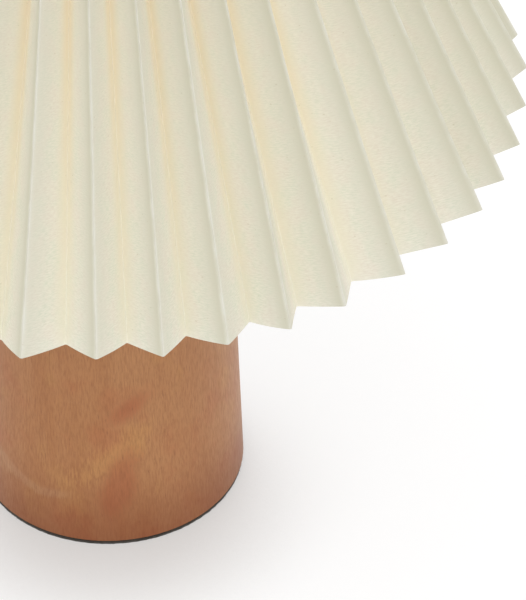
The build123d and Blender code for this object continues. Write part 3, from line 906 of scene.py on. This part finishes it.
def make_bulb_cap(metal):
    """The bulb's rolled screw cap, its rim crimped on the housing."""
    low, high, crest = millimetres("bulb_cap")
    thread_depth, crimp_depth, wall = 0.8, 0.25, 1.3

    def radius_at(radius, height, kind, angle):
        if kind == "crimp":
            return radius - crimp_depth * max(0.0, cos(angle * CRIMPS)) ** 6
        wave = thread_wave(height, angle, CAP_PITCH, low + 1.2, high - 3.6, True)
        return radius - thread_depth * wave

    outline = corners((9.9, low), (10.3, low))
    outline += run_between((10.7, low + 0.25), (crest, low + 1.6), 0.4, "thread")
    outline += run_between((crest, low + 1.9), (crest, high - 3.4), 0.3, "thread")
    outline += run_between((crest, high - 3.0), (crest, high - 0.5), 0.35, "crimp")
    outline += corners((crest - 0.1, high), (crest - 0.4, high), (crest - wall, high - 3.4),
                       (crest - wall, low + 2.2))
    dress(turned("rolled_bulb_cap", outline, metal, 96, radius_at), "bulb", "bulb_metal",
          "bulb_cap")


def make_shade_ring(plastic):
    """The ring that screws down on the shade: a notched flange and a thread inside."""
    low, high, _ = millimetres("shade_ring")
    flange, body, bore = 27.0, 23.25, 20.05
    thread_depth, grip_depth = 0.8, 1.1

    def radius_at(radius, height, kind, angle):
        if kind == "grip":
            return radius - grip_depth * max(0.0, cos(angle * GRIPS)) ** 5
        wave = thread_wave(height, angle, SLEEVE_PITCH, low + 0.3, high - 0.6, False)
        return radius + thread_depth * wave

    outline = corners((bore + 0.5, low))
    outline += corners((flange - 0.5, low), (flange, low + 0.5), (flange, low + 2.0),
                       (flange - 0.5, low + 2.5), kind="grip")
    outline += corners((body + 0.6, low + 2.5), (body, low + 3.1), (body, high - 0.6),
                       (body - 0.6, high), (bore + 0.4, high))
    outline += run_between((bore, high - 0.4), (bore, low + 0.4), 0.3, "thread")
    dress(turned("threaded_shade_ring", outline, plastic, 288, radius_at), "clamp_ring",
          "ring_plastic", "shade_ring")


# ---------------------------------------------------------------- felt


def make_felt(felt):
    """A disc of felt with a soft, slightly ragged edge."""
    low, high, rim = millimetres("felt_pad")
    rim += FELT_SPREAD
    middle = (low + high) / 2
    tufts, coarse, fine = 26, 0.18, 0.1

    def radius_at(radius, height, kind, angle):
        spot = Vector((cos(angle), sin(angle), height / 4)) * tufts
        return radius - coarse + coarse * noise.noise(spot) + fine * noise.noise(spot * 3.1)

    outline = corners((0, low), (rim * 0.5, low), (rim - 1.2, low))
    outline += corners((rim - 0.35, low + 0.05), (rim - 0.1, low + 0.3), (rim, middle),
                       (rim - 0.05, high - 0.25), (rim - 0.3, high), kind="edge")
    outline += corners((rim - 1.2, high), (0, high))
    dress(turned("felt_disc", outline, felt, 360, radius_at), "base", "felt", "felt_pad")


def fluff_tree(inputs):
    """Loose fibres that stand out from the felt's edge."""
    tree, given = new_geometry_tree("felt_fluff", inputs)
    points = tree.node("GeometryNodeMeshLine", {"Count": given["Fibres"]}, mode="OFFSET")
    number = tree.out(tree.node("GeometryNodeInputIndex"))
    seed = given["Seed"]
    bearing = (number + drawn(tree, number, -0.5, 0.5, seed)) * (2 * pi) / given["Fibres"]
    height = given["Thickness"] * drawn(tree, number, 0.3, 0.9, seed + 1)
    radius = given["Rim"] - drawn(tree, number, 0.0, 0.3 * MM, seed + 2)
    place = tree.vector(radius * tree.cos(bearing), radius * tree.sin(bearing), height)
    placed = tree.shaped(
        tree.out(points, "Mesh"), "GeometryNodeSetPosition", {"Position": place}
    )
    strand = tree.node(
        "GeometryNodeMeshCone",
        {
            "Vertices": 3, "Side Segments": 1, "Fill Segments": 1,
            "Radius Top": 0.02 * MM, "Radius Bottom": 0.04 * MM, "Depth": 0.6 * MM,
        },
    )
    turn = tree.vector(
        drawn(tree, number, -1.2, 1.2, seed + 3),
        pi / 2 + drawn(tree, number, -0.9, 0.5, seed + 4),
        bearing,
    )
    scale = tree.vector(1.0, 1.0, drawn(tree, number, 0.5, 1.3, seed + 5))
    strewn = laid_out(tree, placed, tree.out(strand, "Mesh"), turn, scale)
    return finish_tree(tree, strewn, given["Felt"])


def make_fluff(felt):
    _, high, rim = millimetres("felt_pad")
    inputs = {
        "Fibres": 1500,
        "Rim": (rim + FELT_SPREAD - 0.2) * MM,
        "Thickness": high * MM,
        "Seed": 11,
        "Felt": felt,
    }
    dress(grow("felt_fluff", fluff_tree(inputs), inputs), "base", "felt")


# ---------------------------------------------------------------- welds of the wire frame


def make_welds(lacquer):
    """The small beads where wires are welded to the rings and to the fitter."""
    top_radius, top_height, top_wire = wire_circle("top_ring")
    hoop_radius, hoop_height, hoop_wire = wire_circle("lower_hoop")
    fitter_low, fitter_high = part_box("fitter_ring")
    fitter_z = (fitter_low.z + fitter_high.z) / 2
    beads = []
    for turn in (0, 120, 240):
        arm, strut = radians(turn - 90), radians(turn - 30)
        beads += [
            (arm, top_radius, top_height - top_wire * 0.8, top_wire * 1.35),
            (arm, fitter_high.x + 0.2 * MM, fitter_z, 1.75 * MM),
            (strut, top_radius - top_wire * 0.5, top_height - top_wire * 0.3, top_wire * 1.2),
            (strut, hoop_radius - hoop_wire * 0.5, hoop_height - hoop_wire * 0.3,
             hoop_wire * 1.3),
        ]
    lumps, lump_size = 900, 0.12
    shell = bmesh.new()
    for bearing, radius, height, size in beads:
        spot = Vector((radius * cos(bearing), radius * sin(bearing), height))
        squash = Matrix.Diagonal((1.0, 1.25, 0.85, 1.0))
        place = Matrix.Translation(spot) @ Matrix.Rotation(bearing, 4, "Z") @ squash
        made = bmesh.ops.create_icosphere(shell, subdivisions=3, radius=size, matrix=place)
        for vert in made["verts"]:
            vert.co += (vert.co - spot) * lump_size * noise.noise(vert.co * lumps)
    for face in shell.faces:
        face.smooth = True
    mesh = bpy.data.meshes.new("weld_beads")
    shell.to_mesh(mesh)
    shell.free()
    dress(new_object("weld_beads", mesh, lacquer), "shade", "white_lacquer")


# ---------------------------------------------------------------- finishes of all pieces

lacquer = made_finish("white_lacquer_coat", (226, 224, 216), (233, 231, 224), (0.38, 0.5),
                      1500.0, 0.12, Coat_Weight=0.15)
zinc = made_finish("zinc_plated_steel", (168, 170, 170), (192, 194, 192), (0.3, 0.48),
                   2500.0, 0.15, Metallic=1.0)
brass = made_finish("bright_brass", (205, 163, 92), (220, 180, 110), (0.22, 0.38),
                    2200.0, 0.1, Metallic=1.0)
nickel = made_finish("nickel_plated_cap", (186, 184, 178), (206, 204, 199), (0.2, 0.34),
                     2200.0, 0.08, Metallic=1.0)
iron = made_finish("dark_cast_iron", (44, 43, 42), (66, 64, 62), (0.62, 0.82), 700.0, 0.6,
                   Metallic=0.5)
rubber = made_finish("matt_black_rubber", (26, 26, 26), (38, 37, 36), (0.68, 0.8), 1800.0, 0.3)
holder_plastic = made_finish("moulded_white_holder", (224, 221, 210), (230, 228, 219),
                             (0.32, 0.42), 3200.0, 0.05, Coat_Weight=0.1)
ring_plastic = made_finish("moulded_white_ring", (226, 223, 213), (232, 230, 221),
                           (0.34, 0.46), 3200.0, 0.06)
ceramic = made_finish("white_steatite", (222, 219, 208), (232, 229, 220), (0.25, 0.4), 1800.0, 0.15)
glass = made_finish("black_insulating_glass", (16, 16, 20), (24, 24, 28), (0.08, 0.18), 900.0, 0.1)
housing = made_finish("white_bulb_housing", (234, 233, 229), (240, 239, 236), (0.42, 0.55),
                      2600.0, 0.08)
board = made_finish("white_coated_board", (214, 216, 214), (226, 227, 225), (0.35, 0.5),
                    1200.0, 0.1)
phosphor = made_finish("yellow_phosphor", (222, 190, 70), (236, 208, 96), (0.4, 0.55),
                       5000.0, 0.2)
opal = made_finish("opal_white_globe", (238, 238, 234), (243, 243, 240), (0.24, 0.32),
                   1200.0, 0.02)
thread = made_finish("white_cotton_thread", (232, 228, 214), (240, 237, 226), (0.8, 0.92),
                     6000.0, 0.5)
felt = made_finish("dark_brown_felt", (46, 41, 34), (66, 60, 51), (0.9, 0.98), 3500.0, 1.0,
                   Sheen_Weight=0.25, Sheen_Roughness=0.6)


def finish_node(name, material):
    """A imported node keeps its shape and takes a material."""
    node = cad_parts[name]
    node.data.materials.clear()
    node.data.materials.append(material)


for material, names in (
    (wood_material(), ["wood_column"]),
    (rubber, ["cable_bush"]),
    (iron, ["ballast"]),
    (zinc, ["threaded_tube", "ballast_washer", "ballast_nut", "top_nut", "grub_screw",
            "terminal_screws"]),
    (lacquer, ["top_flange", "fitter_ring", "top_ring", "lower_hoop", "frame_arm_1",
               "frame_arm_2", "frame_arm_3", "frame_strut_1", "frame_strut_2", "frame_strut_3"]),
    (holder_plastic, ["holder_cap"]),
    (ceramic, ["terminal_block"]),
    (brass, ["centre_contact"]),
    (nickel, ["bulb_tip_contact"]),
    (glass, ["bulb_insulator"]),
    (housing, ["bulb_collar"]),
    (board, ["led_plate", "driver_board"]),
    (phosphor, ["led_chips"]),
    (opal, ["bulb_globe"]),
):
    for name in names:
        finish_node(name, material)

make_shade()
make_ties(thread)
make_welds(lacquer)
make_holder_sleeve(holder_plastic)
make_screw_shell(brass)
make_bulb_cap(nickel)
make_shade_ring(ring_plastic)
make_felt(felt)
make_fluff(felt)

# ---------------------------------------------------------------- floor, light and camera


def shown_rays(tree):
    """1 for the rays that show the background: the camera's, and those through gloss and glass."""
    rays = tree.node("ShaderNodeLightPath")
    camera, gloss, glass = (
        tree.out(rays, f"Is {kind} Ray") for kind in ("Camera", "Glossy", "Transmission")
    )
    return tree.math("MAXIMUM", camera, tree.math("MAXIMUM", gloss, glass))


def floor_material():
    """A pale floor that looks white but for the lamp's soft shadow and a painted shadow round its
    foot.
    """
    material = bpy.data.materials.new("pale_floor")
    material.use_nodes = True
    tree = Tree(material.node_tree)
    material.node_tree.nodes.remove(material.node_tree.nodes["Principled BSDF"])
    # Painted shadow round the foot: the floor's glow and colour darken with the nearby occlusion,
    # sampled towards the back so that the shadow lies more in front of the foot.
    towards_back = tree.vector(0.05, 0.75, 0.66)
    nearby = tree.node(
        "ShaderNodeAmbientOcclusion", {"Distance": 0.055, "Normal": towards_back}, samples=12
    )
    open_air = remap(tree, tree.out(nearby, "AO"), 0.45, 1.0)
    painted_shadow_glow = mix_colour(tree, open_air, (0.72, 0.695, 0.68, 1), (1, 1, 1, 1))
    lit = mix_colour(tree, open_air, (0.22, 0.215, 0.21, 1), (0.3, 0.3, 0.3, 1))
    plain = tree.node("ShaderNodeBsdfDiffuse", {"Color": (0.8, 0.8, 0.8, 1)})
    shadowed = tree.node("ShaderNodeBsdfDiffuse", {"Color": lit})
    glow = tree.node("ShaderNodeEmission", {"Color": painted_shadow_glow, "Strength": 0.75})
    both = tree.node("ShaderNodeAddShader", {0: shadowed.outputs[0], 1: glow.outputs[0]})
    seen = tree.node(
        "ShaderNodeMixShader",
        {0: shown_rays(tree), 1: plain.outputs[0], 2: both.outputs[0]},
    )
    tree.plug(seen.outputs[0], material.node_tree.nodes["Material Output"].inputs["Surface"])
    return material


def make_floor():
    """A square a little under the foot, so that the two don't share a plane."""
    half_side, height = 3.0, -0.1 * MM
    square = [(x * half_side, y * half_side, height)
              for x, y in ((-1, -1), (1, -1), (1, 1), (-1, 1))]
    mesh = bpy.data.meshes.new("floor")
    mesh.from_pydata(square, [], [(0, 1, 2, 3)])
    new_object("floor", mesh, floor_material())


def make_lamp(name, place, size, power):
    """A square soft light that faces the middle of the object."""
    light = bpy.data.lights.new(name, "AREA")
    light.shape = "SQUARE"
    light.size = size
    light.energy = power
    lamp = bpy.data.objects.new(name, light)
    STAGE.objects.link(lamp)
    lamp.location = place
    middle = Vector((0, 0, 0.2))
    lamp.rotation_euler = (middle - Vector(place)).to_track_quat("-Z", "Y").to_euler()


def make_world():
    """Soft light from all round, which the camera sees as plain white."""
    world = bpy.data.worlds.new("studio")
    bpy.context.scene.world = world
    world.use_nodes = True
    backing = world.node_tree.nodes["Background"]
    backing.inputs["Color"].default_value = (1, 1, 1, 1)
    backing.inputs["Strength"].default_value = 1.0


def make_camera():
    """The photograph's viewpoint, found from the base's ellipse and the hem's tips."""
    place = (0, -0.8471, 0.7941)
    pitch, yaw, roll = radians(40.31), radians(3.92), radians(0.21)
    ahead = Vector((sin(yaw) * cos(pitch), cos(yaw) * cos(pitch), -sin(pitch)))
    level = Vector((cos(yaw), -sin(yaw), 0))
    above = level.cross(ahead)
    right = level * cos(roll) + above * sin(roll)
    up = above * cos(roll) - level * sin(roll)
    camera = bpy.data.objects.new("camera", bpy.data.cameras.new("camera"))
    STAGE.objects.link(camera)
    turn = Matrix((right, up, -ahead)).transposed().to_4x4()
    camera.matrix_world = Matrix.Translation(place) @ turn
    camera.data.sensor_width = 36.0
    camera.data.lens = 180.4
    bpy.context.scene.camera = camera


make_floor()
make_world()
make_lamp("key", (0.15, -0.6, 1.7), 1.2, 1.8)
make_lamp("fill", (-1.2, -0.9, 1.2), 1.4, 0.4)
make_camera()
bpy.context.scene.view_settings.view_transform = "Standard"
